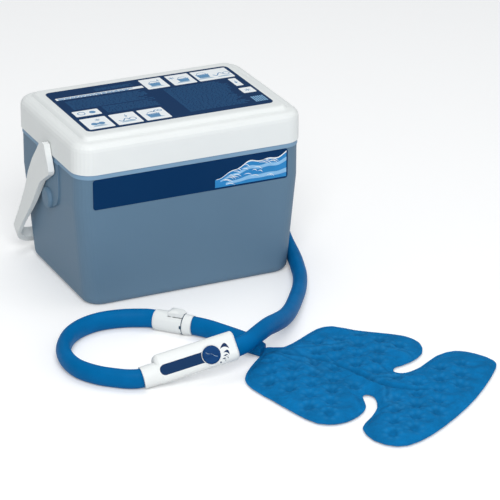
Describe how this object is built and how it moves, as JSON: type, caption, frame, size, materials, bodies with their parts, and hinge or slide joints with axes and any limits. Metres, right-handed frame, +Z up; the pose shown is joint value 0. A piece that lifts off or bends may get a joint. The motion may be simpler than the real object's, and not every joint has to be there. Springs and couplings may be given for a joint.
{
  "type": "hot cold therapy machine",
  "caption": "Insulated cooler with a circulating pump, a swinging carry handle, a foam-covered hose with a flow knob and a latch coupling, and a quilted therapy pad.",
  "frame": {"origin": "on the floor under the middle of the cooler", "axes": "+X to the right along the cooler as seen from its front label, +Y to the rear, +Z up"},
  "size_m": [0.52, 0.775, 0.244],
  "materials": {
    "shell_plastic": "satin",
    "insulation_foam": "matte",
    "liner_plastic": "satin",
    "label_film": "gloss",
    "lid_plastic": "satin",
    "stud_plastic": "satin",
    "pump_plastic": "satin",
    "strainer_plastic": "satin",
    "seal_rubber": "matte",
    "stator_copper": "satin",
    "shaft_steel": "satin",
    "magnet_ferrite": "matte",
    "bush_brass": "satin",
    "screw_steel": "satin",
    "clear_tube": "satin",
    "hose_fitting_plastic": "satin",
    "inlet_plastic": "satin",
    "lead_rubber": "matte",
    "hose_foam": "matte",
    "knob_plastic": "satin",
    "pad_fabric": "matte"
  },
  "bodies": {
    "base": {"outer_shell": "shell_plastic", "foam_insulation": "insulation_foam", "inner_liner": "liner_plastic", "front_label": "label_film", "handle_pivots": "stud_plastic", "pump_bracket": "pump_plastic", "inlet_strainer": "strainer_plastic", "pump_housing": "pump_plastic", "pump_gasket": "seal_rubber", "motor_can": "pump_plastic", "motor_stator": "stator_copper", "rotor_sleeve": "shaft_steel", "shaft_bushes": "bush_brass", "pump_screws": "screw_steel", "supply_tube": "clear_tube", "return_tube": "clear_tube", "hose_elbow": "hose_fitting_plastic", "elbow_gasket": "seal_rubber", "elbow_nut": "lid_plastic", "power_inlet": "inlet_plastic", "power_inlet_pin": "screw_steel", "power_lead": "lead_rubber", "main_hose": "hose_foam", "loop_hose": "hose_foam", "regulator_cover": "lid_plastic", "regulator_base": "lid_plastic", "regulator_inlay": "label_film", "valve_body": "strainer_plastic", "valve_supply_tubes": "clear_tube", "valve_return_tube": "clear_tube", "regulator_screws": "screw_steel", "coupling_socket": "lid_plastic", "latch_spring": "screw_steel"},
    "lid": {"lid_cover": "lid_plastic", "lid_foam": "insulation_foam", "lid_pan": "liner_plastic", "lid_label": "label_film"},
    "handle": {"carry_handle": "lid_plastic"},
    "rotor": {"impeller": "strainer_plastic", "impeller_shaft": "shaft_steel", "rotor_magnet": "magnet_ferrite"},
    "knob": {"flow_knob": "knob_plastic", "valve_spool": "strainer_plastic", "spool_o_rings": "seal_rubber"},
    "latch": {"coupling_latch": "lid_plastic"},
    "pad": {"coupling_plug": "lid_plastic", "plug_o_ring": "seal_rubber", "pad_hose": "hose_foam", "pad_port": "hose_foam", "therapy_pad": "pad_fabric"}
  },
  "joints": [
    {"name": "lid_lift", "type": "slide", "parent": "base", "child": "lid", "axis": [0, 0, 1], "range_m": [0, 0.06]},
    {"name": "handle_swing", "type": "hinge", "parent": "base", "child": "handle", "pos_m": [0, 0.002, 0.18], "axis": [1, 0, 0], "range_deg": [0, 270]},
    {"name": "impeller_spin", "type": "hinge", "parent": "base", "child": "rotor", "pos_m": [0.06, 0.012, 0.06], "axis": [0, 0, 1], "continuous": true},
    {"name": "knob_turn", "type": "hinge", "parent": "base", "child": "knob", "pos_m": [-0.09462, -0.38045, 0.03893], "axis": [-0.188, -0.8138, 0.5498], "range_deg": [0, 150]},
    {"name": "latch_press", "type": "slide", "parent": "base", "child": "latch", "axis": [0, 0, -1], "range_m": [0, 0.0022], "stiffness_N_per_m": 600, "springref_m": -0.002, "deforming": ["latch_spring"]},
    {"name": "pad_pull", "type": "slide", "parent": "base", "child": "pad", "axis": [0.682, -0.7314, 0], "range_m": [0, 0.017]}
  ]
}
